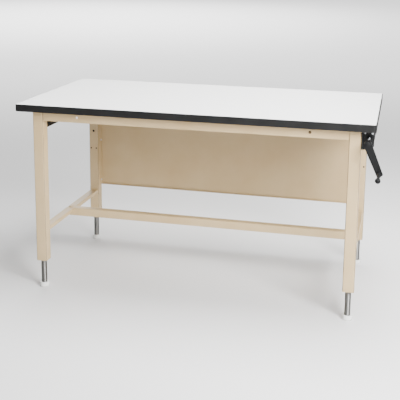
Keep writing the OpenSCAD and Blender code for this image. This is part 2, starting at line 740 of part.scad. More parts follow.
module crank_arm() color("#161618") {
    tail_z = -crank_r - arm_tail;
    cut = arm_narrow / 2 * tan(crank_angle);
    difference() {
        union() {
            along_arm() translate([0, arm_back_y, 0]) rotate([90, 0, 0]) linear_extrude(arm_t) {
                circle(d = arm_wide);
                polygon([[-arm_wide / 2, 0], [arm_wide / 2, 0],
                         [arm_narrow / 2, tail_z + cut], [-arm_narrow / 2, tail_z - cut]]);
            }
            along_shaft(arm_front_y) cylinder(d = hub_d, h = arm_t + hub_len);
        }
        along_shaft(arm_front_y - end_gap) hex_bar(shaft_flats + 2 * run_gap, arm_t + hub_len + 2 * end_gap);
        along_arm() translate([0, arm_front_y - end_gap, -crank_r]) rotate([-90, 0, 0])
            cylinder(d = pin_d + 2 * run_gap, h = arm_t + 2 * end_gap);
    }
}

module hub_cap() color("#111112") along_shaft(arm_front_y) rotate([180, 0, 0]) dome(cap_d, cap_t, cap_rim);

module at_grip() along_arm() translate([0, arm_front_y, -crank_r]) rotate([90, 0, 0]) children();

// The pin is fixed in the arm, and its head turns in the grip's recess
module grip_pin() color("#9b9ea3") at_grip() {
    pin_len = pass_gap + pin_recess_z + pass_gap;
    translate([0, 0, -arm_t]) cylinder(d = pin_d, h = arm_t + pin_len);
    translate([0, 0, pin_len]) cylinder(d = pin_head_d, h = pin_head_t);
}

// The grip swells from its neck into a ball at its free end
module grip() color("#141416") at_grip() translate([0, 0, pass_gap]) difference() {
    rotate_extrude() {
        square([neck_d / 2, ball_z]);
        polygon([[0, 0], [collar_d / 2, 0], [collar_d / 2, collar_len / 2],
                 [neck_d / 2, collar_len], [0, collar_len]]);
        polygon([[0, ball_z - swell_len], [neck_d / 2, ball_z - swell_len],
                 [throat_d / 2, ball_z - throat_back], [0, ball_z]]);
        intersection() {
            translate([0, ball_z]) circle(d = ball_d);
            translate([0, ball_z - ball_d]) square([ball_d, 2 * ball_d]);
        }
    }
    translate([0, 0, -end_gap]) cylinder(d = pin_d + 2 * run_gap, h = grip_len);
    translate([0, 0, pin_recess_z]) cylinder(d = pin_recess_d, h = grip_len);
    translate([0, 0, grip_len - plug_len]) cylinder(d = plug_d, h = grip_len);
}

// The plug closes the recess and completes the ball
module grip_plug() color("#141416") at_grip() translate([0, 0, pass_gap]) intersection() {
    translate([0, 0, grip_len - plug_len]) cylinder(d = plug_d - 2 * run_gap, h = grip_len);
    translate([0, 0, ball_z]) sphere(d = ball_d);
}

worktop_core();
worktop_laminate();
worktop_backer();
edge_moulding();
leg(front_left);  // leg_front_left
leg(front_right);  // leg_front_right
leg(back_left);  // leg_back_left
leg(back_right);  // leg_back_right
front_apron();
rear_apron();
end_rail(-1);  // left_end_rail
end_rail(1);  // right_end_rail
crossbar(-1);  // left_crossbar
crossbar(1);  // right_crossbar
stretcher();
modesty_panel();
cylinder_barrel(front_left);  // cylinder_front_left
cylinder_barrel(front_right);  // cylinder_front_right
cylinder_barrel(back_left);  // cylinder_back_left
cylinder_barrel(back_right);  // cylinder_back_right
gland(front_left);  // gland_front_left
gland(front_right);  // gland_front_right
gland(back_left);  // gland_back_left
gland(back_right);  // gland_back_right
rod(front_left);  // rod_front_left
rod(front_right);  // rod_front_right
rod(back_left);  // rod_back_left
rod(back_right);  // rod_back_right
piston(front_left);  // piston_front_left
piston(front_right);  // piston_front_right
piston(back_left);  // piston_back_left
piston(back_right);  // piston_back_right
foot(front_left);  // foot_front_left
foot(front_right);  // foot_front_right
foot(back_left);  // foot_back_left
foot(back_right);  // foot_back_right
wiper_rings();
cylinder_ports();
cylinder_screws();
worktop_screws();
panel_screws();
stretcher_bolts();
pump_front_bracket();
pump_rear_bracket();
pump_body();
pump_bush();
pump_ports();
pump_screws();
drive_sleeve();
crank_shaft();
crank_arm();
hub_cap();
grip_pin();
grip();
grip_plug();
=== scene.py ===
"""Finishes, fasteners, welds and stage of a hand-cranked height-adjustable work table."""

import json
import math

import bmesh
import bpy
from bpy.props import FloatProperty, FloatVectorProperty, PointerProperty
from mathutils import Matrix, Vector


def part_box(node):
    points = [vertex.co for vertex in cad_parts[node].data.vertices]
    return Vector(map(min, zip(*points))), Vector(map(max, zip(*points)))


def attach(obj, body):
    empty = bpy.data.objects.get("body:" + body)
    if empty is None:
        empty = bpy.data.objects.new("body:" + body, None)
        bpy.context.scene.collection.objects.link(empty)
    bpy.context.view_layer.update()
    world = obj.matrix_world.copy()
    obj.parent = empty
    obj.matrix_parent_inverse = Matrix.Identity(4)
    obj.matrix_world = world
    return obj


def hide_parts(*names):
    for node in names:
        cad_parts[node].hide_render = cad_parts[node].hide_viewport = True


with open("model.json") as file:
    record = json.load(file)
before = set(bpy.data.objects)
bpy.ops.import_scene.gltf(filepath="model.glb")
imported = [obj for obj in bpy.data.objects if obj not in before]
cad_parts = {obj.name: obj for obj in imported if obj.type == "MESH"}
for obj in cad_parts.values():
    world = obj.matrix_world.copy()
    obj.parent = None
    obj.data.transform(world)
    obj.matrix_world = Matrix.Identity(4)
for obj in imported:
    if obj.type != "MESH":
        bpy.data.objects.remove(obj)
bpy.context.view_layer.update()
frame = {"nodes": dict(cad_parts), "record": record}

bl_info = {
    "name": "Cranked work table",
    "version": (1, 0, 0),
    "blender": (4, 5, 0),
    "location": "View3D > Sidebar > Work Table",
    "description": "Finishes, fasteners, welds and stage of a height-adjustable work table",
    "category": "Object",
}

LEGS = ("front_left", "front_right", "back_left", "back_right")
# Width of the square picture in pixels
PICTURE_WIDTH = 400
# A millimetre in metres
MM = 0.001
# Sockets of the Mix node for its first and second colour, and its colour result
FIRST, SECOND, MIXED = 6, 7, 2
# Turn between one screw head and the next, so that no two recesses line up
HEAD_TURN = math.radians(137.5)
# Sides of a disc and of a bolt's shank
DISC_SIDES, SHANK_SIDES = 32, 24
# How far pieces that are joined or cut reach into or past each other, in millimetres
OVERLAP = 1
# How far a point may be from a level and still count as on it, in millimetres
LEVEL_PLAY = 1e-4
# Corners of a CAD node that are closer than this are one, in metres
MERGE_GAP = 0.001 * MM
# Faces that meet at a smaller angle are shaded as one round face
ROUND_ANGLE = math.radians(35)
# A drop of weld metal: its shape against a ball as wide as the bead, its lean, and the voxels across the bead
DROP_SHAPE, DROP_LEAN, BEAD_VOXELS = (0.8, 0.8, 0.6), math.radians(12), 12
# Point over the origin that the key light is turned to
TABLE_MIDDLE = Vector((0, 0, 0.5))
# Width of the camera's sensor in millimetres
SENSOR_WIDTH = 36


def linear(hex_text):
    """Linear RGBA of an sRGB hex value."""
    channels = [int(hex_text[k:k + 2], 16) / 255 for k in (1, 3, 5)]
    return [c / 12.92 if c <= 0.04045 else ((c + 0.055) / 1.055) ** 2.4 for c in channels] + [1.0]


def colour(name, description, hex_text):
    """Colour property whose default is an sRGB hex value."""
    return FloatVectorProperty(
        name=name, description=description, subtype="COLOR", size=4, min=0, max=1, default=linear(hex_text))


def length(name, description, millimetres):
    """Length property whose default is given in millimetres."""
    return FloatProperty(
        name=name, description=description, unit="LENGTH", min=0, default=millimetres * MM, precision=5)


def share(name, description, value):
    """Property for one size as a share of another."""
    return FloatProperty(name=name, description=description, subtype="FACTOR", min=0, max=2, default=value)


def angle(name, description, degrees):
    """Angle property whose default is given in degrees."""
    return FloatProperty(name=name, description=description, subtype="ANGLE", default=math.radians(degrees))


def power(name, description, watts):
    """Power property of a light."""
    return FloatProperty(name=name, description=description, unit="POWER", min=0, default=watts)


def spot(name, description, metres):
    """Property for a place, in metres."""
    return FloatVectorProperty(
        name=name, description=description, subtype="TRANSLATION", unit="LENGTH", default=metres)


def span(name, description, metres):
    """Property for a shortest and a longest distance, in metres."""
    return FloatVectorProperty(
        name=name, description=description, unit="LENGTH", size=2, min=0, default=metres)


def amount(name, description, value):
    """Property for a plain number."""
    return FloatProperty(name=name, description=description, min=0, default=value)


class TableFinishes(bpy.types.PropertyGroup):
    """Colours of the table's finishes, and the real sizes of their textures."""

    laminate: colour("Laminate", "White decor paper of the worktop", "#F4F4F2")
    laminate_fleck: colour("Laminate fleck", "Pale grey flecks in the decor paper", "#E9EAE9")
    moulding: colour("Edge moulding", "Black vinyl of the edge moulding", "#0F0F0F")
    moulding_worn: colour("Edge moulding, worn", "Rubbed patches of the edge moulding", "#161616")
    beige: colour("Beige coat", "Powder coat of the leg frame", "#C3AB82")
    beige_thin: colour("Beige coat, thin", "Powder coat where it lies thinner", "#BCA278")
    mill_scale: colour("Mill scale", "Uncoated steel inside the leg tubes", "#2A2622")
    black_coat: colour("Black coat", "Powder coat of the end rails, brackets and cylinders", "#0A0A0B")
    black_coat_thin: colour("Black coat, thin", "Black powder coat where it lies thinner", "#0F0F10")
    casting: colour("Casting", "Black enamel on the pump housing", "#161718")
    casting_worn: colour("Casting, worn", "Enamel rubbed grey on the casting's grain", "#2A2B2D")
    crank_enamel: colour("Crank enamel", "Dark enamel of the crank arm", "#0D0D0E")
    crank_enamel_thin: colour("Crank enamel, thin", "Crank enamel where it lies thinner", "#131314")
    chrome: colour("Chrome", "Ground and chromed rods", "#A09F9C")
    bright_steel: colour("Bright steel", "Cold-drawn steel of the crank shaft", "#D6D8DB")
    steel: colour("Steel", "Machined steel", "#8E9196")
    browned: colour("Browned steel", "Oiled and browned steel of the cylinder screws", "#4A4138")
    zinc: colour("Zinc", "Zinc-plated fasteners", "#DCDEE1")
    zinc_dull: colour("Zinc, dulled", "Dull patches of the zinc", "#BDC0C4")
    oxide: colour("Black oxide", "Blackened steel", "#1C1D1F")
    foot: colour("Foot cap", "White moulded polyethylene", "#F1F1EE")
    foot_scuff: colour("Foot cap, scuffed", "Grey scuffs at the floor", "#B4B2AC")
    nylon: colour("Nylon", "Black moulded nylon", "#0E0E0F")
    # Painted shade: the plug's dark brown stands in for the shade seen through the apron's right-hand hole
    plug: colour("Plug", "Brown moulded nylon of the apron's plug", "#4A3A26")
    brass: colour("Brass", "Turned brass fittings", "#C6A252")
    bronze: colour("Bronze", "Sintered bronze glands", "#A27F45")
    rubber: colour("Rubber", "Black nitrile rubber", "#161616")
    board: colour("Particleboard", "Pressed wood chips", "#B9996B")
    board_chip: colour("Particleboard chips", "Darker chips", "#93754B")
    backer: colour("Backing sheet", "Brown phenolic paper under the worktop", "#7A6A58")
    backer_fibre: colour("Backing fibres", "Darker fibres in the phenolic paper", "#6B5B4A")
    peel: length("Orange peel", "Width of the ripples in the powder coat", 3.5)
    cloud: length("Coat clouds", "Width of the thin and thick patches in the powder coat", 180)
    fleck: length("Fleck", "Width of the flecks in the laminate", 2.5)
    grain: length("Moulding grain", "Width of the leather grain in the moulding", 1.6)
    rub: length("Rubbed patches", "Width of the rubbed patches on the moulding", 60)
    sand: length("Casting grain", "Width of the sand grain in the casting", 1.8)
    chip: length("Chip", "Length of the chips in the particleboard", 4)
    fibre: length("Fibre", "Length of the fibres in the backing sheet", 6)
    grind: length("Grinding marks", "Spacing of the grinding marks on the rods", 1.2)
    grind_run: length("Grinding run", "Length of a grinding mark round a rod", 40)
    die_line: length("Die lines", "Spacing of the lines along the drawn crank shaft", 1.5)
    die_run: length("Die line run", "Length of a line along the drawn crank shaft", 150)
    spangle: length("Spangle", "Width of the dull patches in the zinc", 2.5)
    spark: length("Mould grain", "Width of the grain of a spark-eroded mould", 1.5)
    scuff: length("Scuffs", "Height and width of the scuffs on the foot caps", 8)
    tube_skin: length("Tube skin", "Depth under a leg's outer faces that counts as coated", 1)


class TableFasteners(bpy.types.PropertyGroup):
    """Shapes of the screws, bolts, plug and welds."""

    shank: share("Shank", "Diameter of a screw's shank, in head diameters", 0.5)
    head_height: share("Head height", "Height of a screw head, in head diameters", 0.35)
    crown: share("Crown", "Height of a screw head's crown, in head heights", 0.7)
    recess_reach: share("Recess reach", "Length of the cross recess, in head diameters", 0.6)
    recess_width: share("Recess width", "Width of the cross recess, in head diameters", 0.15)
    recess_depth: share("Recess depth", "Depth of the cross recess, in head heights", 0.6)
    recess_taper: share("Recess taper", "Size of the cross recess at its bottom, as a share of its top", 0.45)
    hexagon_corners: share("Hexagon corners", "Distance across a hexagon's corners, in shank diameters", 1.95)
    flange: length("Flange", "Thickness of the bolts' and nuts' flanges", 1.3)
    flange_edge: length("Flange edge", "Overhang of a flange past its hexagon's corners", 1)
    chamfer: length("Chamfer", "Chamfer on the corners of a hexagon", 0.9)
    thread_pitch: length("Thread pitch", "Pitch of the bolts' threads", 1.25)
    thread_depth: share("Thread depth", "What the thread takes off the shank's diameter, in pitches", 1.1)
    nut_bore: share("Nut bore", "Bore of a nut, in shank diameters", 1.01)
    plug_rim: length("Plug rim", "Overhang of the apron's plug past its hole", 1.2)
    plug_head: length("Plug head", "Height of the plug's head", 1.6)
    plug_crown: share("Plug crown", "Height of the plug head's crown, in head heights", 0.8)
    plug_stem: length("Plug stem", "Length of the plug's stem in the hole", 6)
    plug_taper: share("Plug taper", "Width of the plug's stem at its tip, as a share of its top", 0.9)
    plug_play: length("Plug play", "Gap between the plug's stem and the hole", 0.2)
    bead: length("Bead", "Width of a weld bead", 5)
    bar_corner: length("Bar corner", "Rounded corner of the crossbars, which the welds leave free", 4)
    ripple: length("Ripple", "Spacing of the ripples in a weld bead", 2.2)
    rail_sheet: length("Rail sheet", "Thickness of the end rails' sheet", 2.4)
    weld_end: length("Weld end", "Height left free over and under the weld of an end rail", 6)


class TableStage(bpy.types.PropertyGroup):
    """Camera, lights and floor."""

    camera_place: spot("Camera place", "Where the camera stands", (0.8410, -3.5428, 1.4967))
    yaw: angle("Yaw", "Camera's turn about the vertical", 13.216)
    pitch: angle("Pitch", "Camera's tilt up from straight down", 78.934)
    roll: angle("Roll", "Camera's turn about its own axis", 0.727)
    focal_pixels: amount("Focal length", "Focal length in pixels of the square picture", 819.0)
    centre_x: amount("Centre X", "Optical centre from the picture's left, in pixels", 210.0)
    centre_y: amount("Centre Y", "Optical centre from the picture's top, in pixels", 111.6)
    key_place: spot("Key place", "Where the key light stands", (1.75, -2.0, 2.0))
    key_power: power("Key light", "Power of the key light", 260)
    top_place: spot("Top place", "Where the light over the worktop hangs", (0.6, 0.1, 2.8))
    top_power: power("Top light", "Power of the light over the worktop", 150)
    lamp_size: length("Lamp size", "Width of the key light and of the light over the worktop", 1500)
    back_place: spot("Back place", "Where the light on the floor behind the table hangs", (-6.0, 14.0, 7.0))
    back_power: power("Back light", "Power of the light on the floor behind the table", 4500)
    back_size: length("Back lamp size", "Width of the light on the floor behind the table", 12000)
    sky: amount("Even light", "Strength of the even light from all round", 0.08)
    floor: colour("Floor", "Pale studio floor", "#ECECEC")
    glow: amount("Glow", "Strength of the light from the surround and the far floor", 1.2)
    table_pool: span("Table pool", "Distances from the table over which the glow sets in", (2.5, 7.0))
    back_pool: span("Back pool", "Distances from the back light over which the glow sets in", (6.0, 14.0))
    reach: length("Reach", "Distance from the table to the end of the floor", 60000)


def finishes():
    """The finishes as they are set in the scene."""
    return bpy.context.scene.table_finishes


# Materials


def add_node(tree, kind, settings):
    """Add a node, set or link its inputs, set its attributes, and give its outputs."""
    node = tree.nodes.new("ShaderNode" + kind)
    for key, value in settings.items():
        if isinstance(key, str) and key not in node.inputs:
            setattr(node, key, value)
        elif isinstance(value, bpy.types.NodeSocket):
            tree.links.new(value, node.inputs[key])
        else:
            node.inputs[key].default_value = value
    return node.outputs


def new_material(name):
    """An empty material, its nodes and its object coordinates."""
    material = bpy.data.materials.new(name)
    material.use_nodes = True
    tree = material.node_tree
    tree.nodes.clear()
    return material, tree, add_node(tree, "TexCoord", {})["Object"]


def pressed_laminate():
    """High-pressure laminate, pressed against a fine plate: even white with faint flecks and a soft sheen."""
    look = finishes()
    material, tree, place = new_material("pressed_laminate")
    fleck = add_node(tree, "TexNoise", {"Vector": place, "Scale": 1 / look.fleck, "Detail": 3})["Fac"]
    flecked = add_node(tree, "MapRange", {"Value": fleck, "From Min": 0.52, "From Max": 0.68})["Result"]
    tone = add_node(tree, "Mix", {
        "data_type": "RGBA", 0: flecked, FIRST: look.laminate, SECOND: look.laminate_fleck})[MIXED]
    bump = add_node(tree, "Bump", {"Height": fleck, "Distance": 0.05 * MM, "Strength": 0.15})["Normal"]
    shader = add_node(tree, "BsdfPrincipled", {"Base Color": tone, "Roughness": 0.36, "Normal": bump})["BSDF"]
    add_node(tree, "OutputMaterial", {"Surface": shader})
    return material


def extruded_vinyl():
    """Extruded vinyl with an embossed leather grain: dull black that greys a little where it is rubbed."""
    look = finishes()
    material, tree, place = new_material("extruded_vinyl")
    rub = add_node(tree, "TexNoise", {"Vector": place, "Scale": 1 / look.rub, "Detail": 4})["Fac"]
    rubbed = add_node(tree, "MapRange", {"Value": rub, "From Min": 0.45, "From Max": 0.75})["Result"]
    tone = add_node(tree, "Mix", {
        "data_type": "RGBA", 0: rubbed, FIRST: look.moulding, SECOND: look.moulding_worn})[MIXED]
    grain = add_node(tree, "TexVoronoi", {"Vector": place, "Scale": 1 / look.grain})["Distance"]
    bump = add_node(tree, "Bump", {"Height": grain, "Distance": 0.12 * MM, "Strength": 0.35})["Normal"]
    shader = add_node(tree, "BsdfPrincipled", {
        "Base Color": tone, "Roughness": 0.5, "Specular IOR Level": 0.25, "Normal": bump})["BSDF"]
    add_node(tree, "OutputMaterial", {"Surface": shader})
    return material


def inside_legs(tree, place):
    """1 inside the leg tubes and 0 on their outer faces. The legs stand alike on both sides and at both ends,
    so the coordinates are folded onto one leg."""
    low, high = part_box("leg_front_left")
    far_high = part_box("leg_back_left")[1]
    half_width = (high[0] - low[0]) / 2
    middle = (low[1] + far_high[1]) / 2
    leg_middle = (-low[0] - half_width, far_high[1] - half_width - middle, 0)
    centred = add_node(tree, "VectorMath", {"operation": "SUBTRACT", 0: place, 1: (0, middle, 0)})["Vector"]
    folded = add_node(tree, "VectorMath", {"operation": "ABSOLUTE", 0: centred})["Vector"]
    from_axis = add_node(tree, "VectorMath", {"operation": "SUBTRACT", 0: folded, 1: leg_middle})["Vector"]
    reach = add_node(tree, "VectorMath", {"operation": "ABSOLUTE", 0: from_axis})["Vector"]
    sides = add_node(tree, "SeparateXYZ", {"Vector": reach})
    widest = add_node(tree, "Math", {"operation": "MAXIMUM", 0: sides["X"], 1: sides["Y"]})["Value"]
    inner = half_width - finishes().tube_skin
    return add_node(tree, "Math", {"operation": "LESS_THAN", 0: widest, 1: inner})["Value"]


def powder_coat(name, thick, thin, tube=False, glint=0.3):
    """Powder coat, sprayed and baked: slightly rippled like orange peel, satin, a shade deeper where thin.
    It doesn't reach inside a tube, which stays dark with mill scale."""
    look = finishes()
    material, tree, place = new_material(name)
    cloud = add_node(tree, "TexNoise", {"Vector": place, "Scale": 1 / look.cloud, "Detail": 4})["Fac"]
    patch = add_node(tree, "MapRange", {"Value": cloud, "From Min": 0.4, "From Max": 0.7})["Result"]
    tone = add_node(tree, "Mix", {"data_type": "RGBA", 0: patch, FIRST: thick, SECOND: thin})[MIXED]
    if tube:
        tone = add_node(tree, "Mix", {
            "data_type": "RGBA", 0: inside_legs(tree, place), FIRST: tone, SECOND: look.mill_scale})[MIXED]
    peel = add_node(tree, "TexNoise", {"Vector": place, "Scale": 1 / look.peel, "Detail": 1})["Fac"]
    gloss = add_node(tree, "MapRange", {
        "Value": peel, "From Min": 0.3, "From Max": 0.7, "To Min": 0.38, "To Max": 0.5})["Result"]
    bump = add_node(tree, "Bump", {"Height": peel, "Distance": 0.12 * MM, "Strength": 0.25})["Normal"]
    shader = add_node(tree, "BsdfPrincipled", {
        "Base Color": tone, "Roughness": gloss, "Specular IOR Level": glint, "Normal": bump})["BSDF"]
    add_node(tree, "OutputMaterial", {"Surface": shader})
    return material


def enamelled_casting():
    """Sand-cast aluminium under black enamel: a coarse grain whose tops are rubbed grey."""
    look = finishes()
    material, tree, place = new_material("enamelled_casting")
    sand = add_node(tree, "TexNoise", {"Vector": place, "Scale": 1 / look.sand, "Detail": 3})["Fac"]
    rubbed = add_node(tree, "MapRange", {"Value": sand, "From Min": 0.5, "From Max": 0.75})["Result"]
    tone = add_node(tree, "Mix", {
        "data_type": "RGBA", 0: rubbed, FIRST: look.casting, SECOND: look.casting_worn})[MIXED]
    bump = add_node(tree, "Bump", {"Height": sand, "Distance": 0.3 * MM, "Strength": 0.5})["Normal"]
    shader = add_node(tree, "BsdfPrincipled", {"Base Color": tone, "Roughness": 0.55, "Normal": bump})["BSDF"]
    add_node(tree, "OutputMaterial", {"Surface": shader})
    return material


def ground_metal(name, tone, roughness):
    """Ground or turned metal: bright, with fine marks round the upright axis that draw reflections out."""
    look = finishes()
    material, tree, place = new_material(name)
    marks = (1 / look.grind_run, 1 / look.grind_run, 1 / look.grind)
    turned = add_node(tree, "Mapping", {"Vector": place, "Scale": marks})["Vector"]
    grind = add_node(tree, "TexNoise", {"Vector": turned, "Scale": 1, "Detail": 2})["Fac"]
    shine = add_node(tree, "MapRange", {
        "Value": grind, "From Min": 0.3, "From Max": 0.7,
        "To Min": 0.94 * roughness, "To Max": 1.06 * roughness})["Result"]
    bump = add_node(tree, "Bump", {"Height": grind, "Distance": 0.02 * MM, "Strength": 0.04})["Normal"]
    # A grey edge tint darkens each rod towards its rims: painted dark reflection at the rims
    painted_dark_rim = (0.3, 0.3, 0.3, 1)
    round_axis = add_node(tree, "Tangent", {"direction_type": "RADIAL", "axis": "Z"})["Tangent"]
    shader = add_node(tree, "BsdfPrincipled", {
        "Base Color": tone, "Metallic": 1.0, "Roughness": shine, "Specular Tint": painted_dark_rim,
        "Anisotropic": 1.0, "Anisotropic Rotation": 0.25, "Tangent": round_axis, "Normal": bump})["BSDF"]
    add_node(tree, "OutputMaterial", {"Surface": shader})
    return material


def drawn_bar():
    """Cold-drawn and polished steel: mirror bright, with faint lines along the bar from the die.
    The lines are drawn coarser than they are, so that they show."""
    look = finishes()
    material, tree, place = new_material("drawn_hexagon_bar")
    lines = (1 / look.die_line, 1 / look.die_run, 1 / look.die_line)
    drawn = add_node(tree, "Mapping", {"Vector": place, "Scale": lines})["Vector"]
    line = add_node(tree, "TexNoise", {"Vector": drawn, "Scale": 1, "Detail": 2})["Fac"]
    shine = add_node(tree, "MapRange", {
        "Value": line, "From Min": 0.3, "From Max": 0.7, "To Min": 0.06, "To Max": 0.1})["Result"]
    bump = add_node(tree, "Bump", {"Height": line, "Distance": 0.03 * MM, "Strength": 0.1})["Normal"]
    shader = add_node(tree, "BsdfPrincipled", {
        "Base Color": look.bright_steel, "Metallic": 1.0, "Roughness": shine, "Normal": bump})["BSDF"]
    add_node(tree, "OutputMaterial", {"Surface": shader})
    return material


def plated_metal(name, bright, dull, roughness):
    """Plated, turned or blackened metal: metallic with soft dull patches."""
    look = finishes()
    material, tree, place = new_material(name)
    patch = add_node(tree, "TexNoise", {"Vector": place, "Scale": 1 / look.spangle, "Detail": 3})["Fac"]
    dulled = add_node(tree, "MapRange", {"Value": patch, "From Min": 0.4, "From Max": 0.65})["Result"]
    tone = add_node(tree, "Mix", {"data_type": "RGBA", 0: dulled, FIRST: bright, SECOND: dull})[MIXED]
    bump = add_node(tree, "Bump", {"Height": patch, "Distance": 0.05 * MM, "Strength": 0.1})["Normal"]
    shader = add_node(tree, "BsdfPrincipled", {
        "Base Color": tone, "Metallic": 1.0, "Roughness": roughness, "Normal": bump})["BSDF"]
    add_node(tree, "OutputMaterial", {"Surface": shader})
    return material


def moulded_polyethylene():
    """White polyethylene, moulded: milky and waxy, with grey scuffs where it meets the floor."""
    look = finishes()
    material, tree, place = new_material("moulded_polyethylene")
    height = add_node(tree, "SeparateXYZ", {"Vector": place})["Z"]
    near_floor = add_node(tree, "MapRange", {
        "Value": height, "From Min": look.scuff, "From Max": 0.0})["Result"]
    wobble = add_node(tree, "TexNoise", {"Vector": place, "Scale": 1 / look.scuff, "Detail": 4})["Fac"]
    scuff = add_node(tree, "Math", {"operation": "MULTIPLY", 0: near_floor, 1: wobble})["Value"]
    tone = add_node(tree, "Mix", {
        "data_type": "RGBA", 0: scuff, FIRST: look.foot, SECOND: look.foot_scuff})[MIXED]
    bump = add_node(tree, "Bump", {"Height": wobble, "Distance": 0.05 * MM, "Strength": 0.1})["Normal"]
    shader = add_node(tree, "BsdfPrincipled", {"Base Color": tone, "Roughness": 0.38, "Normal": bump})["BSDF"]
    add_node(tree, "OutputMaterial", {"Surface": shader})
    return material


def moulded_nylon(name, tone, roughness):
    """Nylon or rubber from a spark-eroded mould: an even fine grain, drawn coarser than it is to show."""
    look = finishes()
    material, tree, place = new_material(name)
    grain = add_node(tree, "TexNoise", {"Vector": place, "Scale": 1 / look.spark, "Detail": 2})["Fac"]
    gloss = add_node(tree, "MapRange", {
        "Value": grain, "From Min": 0.3, "From Max": 0.7,
        "To Min": 0.8 * roughness, "To Max": 1.2 * roughness})["Result"]
    bump = add_node(tree, "Bump", {"Height": grain, "Distance": 0.06 * MM, "Strength": 0.2})["Normal"]
    shader = add_node(tree, "BsdfPrincipled", {
        "Base Color": tone, "Roughness": gloss, "Specular IOR Level": 0.15, "Normal": bump})["BSDF"]
    add_node(tree, "OutputMaterial", {"Surface": shader})
    return material


def pressed_chips(name, light, dark, size, roughness):
    """Pressed wood chips or paper fibres: mottled in two browns."""
    material, tree, place = new_material(name)
    chips = add_node(tree, "TexVoronoi", {"Vector": place, "Scale": 1 / size})
    level = add_node(tree, "SeparateColor", {"Color": chips["Color"]})["Red"]
    tone = add_node(tree, "Mix", {"data_type": "RGBA", 0: level, FIRST: light, SECOND: dark})[MIXED]
    bump = add_node(tree, "Bump", {
        "Height": chips["Distance"], "Distance": 0.15 * MM, "Strength": 0.2})["Normal"]
    shader = add_node(tree, "BsdfPrincipled", {
        "Base Color": tone, "Roughness": roughness, "Normal": bump})["BSDF"]
    add_node(tree, "OutputMaterial", {"Surface": shader})
    return material


def finish(material, *names):
    """Put a material on CAD nodes."""
    for name in names:
        for slot in frame["nodes"][name].material_slots:
            slot.material = material


def each_leg(stem):
    """The four nodes of a piece that every leg has."""
    return [f"{stem}_{leg}" for leg in LEGS]


# Modelling: pieces are shaped in millimetres at the origin, pointing up, then set in place in metres


def begin():
    """Leave edit mode and deselect everything."""
    if bpy.context.mode != "OBJECT":
        bpy.ops.object.mode_set(mode="OBJECT")
    bpy.ops.object.select_all(action="DESELECT")


def edit(piece, kind, test):
    """Edit a piece, with only the faces or edges selected that pass the test."""
    bpy.context.view_layer.objects.active = piece
    bpy.ops.object.mode_set(mode="EDIT")
    bpy.ops.mesh.select_mode(type=kind)
    bpy.ops.mesh.select_all(action="DESELECT")
    mesh = bmesh.from_edit_mesh(piece.data)
    for part in mesh.faces if kind == "FACE" else mesh.edges:
        if test(part):
            part.select_set(True)
    bmesh.update_edit_mesh(piece.data)


def on_level(z):
    """Test for an edge or a face that lies at a height."""
    return lambda part: all(abs(vertex.co.z - z) < LEVEL_PLAY for vertex in part.verts)


def shape_with(piece, tool, operation):
    """Cut, join or trim a piece with a tool, and throw the tool away."""
    begin()
    piece.select_set(True)
    bpy.context.view_layer.objects.active = piece
    modifier = piece.modifiers.new(operation, "BOOLEAN")
    modifier.operation = operation
    modifier.object = tool
    bpy.ops.object.modifier_apply(modifier=modifier.name)
    bpy.data.objects.remove(tool)


def add_disc(radius, bottom, top, bevel=0.0, segments=1, sides=DISC_SIDES):
    """A disc, or a hexagon if it has six sides, whose upper rim may be bevelled."""
    begin()
    bpy.ops.mesh.primitive_cylinder_add(
        vertices=sides, radius=radius, depth=top - bottom, location=(0, 0, (top + bottom) / 2))
    bpy.ops.object.transform_apply(location=True)
    disc = bpy.context.object
    if bevel:
        edit(disc, "EDGE", on_level(top))
        bpy.ops.mesh.bevel(offset=bevel, segments=segments, affect="EDGES", clamp_overlap=True)
        begin()
    return disc


def pan_screw(head, reach):
    """A pan-head screw with a cross recess, from its head's diameter and its length under the head."""
    shape = bpy.context.scene.table_fasteners
    height = shape.head_height * head
    screw = add_disc(head / 2, 0, height, bevel=shape.crown * height, segments=5)
    edit(screw, "FACE", on_level(0))
    bpy.ops.mesh.inset(thickness=head * (1 - shape.shank) / 2)
    bpy.ops.mesh.extrude_region_move(TRANSFORM_OT_translate={"value": (0, 0, -reach)})
    begin()
    for turn in (0, math.pi / 2):
        bpy.ops.mesh.primitive_cube_add(size=1, location=(0, 0, height))
        slot = bpy.context.object
        slot.scale = (shape.recess_reach * head, shape.recess_width * head, 2 * shape.recess_depth * height)
        slot.rotation_euler.z = turn
        bpy.ops.object.transform_apply(location=True, rotation=True, scale=True)
        edit(slot, "FACE", on_level(height * (1 - shape.recess_depth)))
        bpy.ops.transform.resize(value=(shape.recess_taper, shape.recess_taper, 1))
        shape_with(screw, slot, "DIFFERENCE")
    return smooth(screw)


def flange_hexagon(corners, height):
    """A chamfered hexagon on a round flange: the head of a bolt, or a nut before it is bored."""
    shape = bpy.context.scene.table_fasteners
    flange = shape.flange / MM
    hexagon = add_disc(corners / 2, 0, height, sides=6)
    chamfer = add_disc(corners / 2, -height, height, bevel=shape.chamfer / MM)
    shape_with(hexagon, chamfer, "INTERSECT")
    rim = corners / 2 + shape.flange_edge / MM
    skirt = add_disc(rim, 0, flange, bevel=flange / 2, segments=3)
    shape_with(hexagon, skirt, "UNION")
    return hexagon


def thread(shank, bottom, top):
    """A threaded bar between two heights: rings that swell and shrink by the depth of the thread."""
    shape = bpy.context.scene.table_fasteners
    pitch = shape.thread_pitch / MM
    root = 1 - shape.thread_depth * pitch / shank
    bar = add_disc(root * shank / 2, bottom - pitch / 2, bottom, sides=SHANK_SIDES)
    edit(bar, "FACE", on_level(bottom))
    for _ in range(round((top - bottom) / pitch)):
        for swell in (1 / root, root):
            bpy.ops.mesh.extrude_region_move(TRANSFORM_OT_translate={"value": (0, 0, pitch / 2)})
            bpy.ops.transform.resize(value=(swell, swell, 1))
    begin()
    return bar


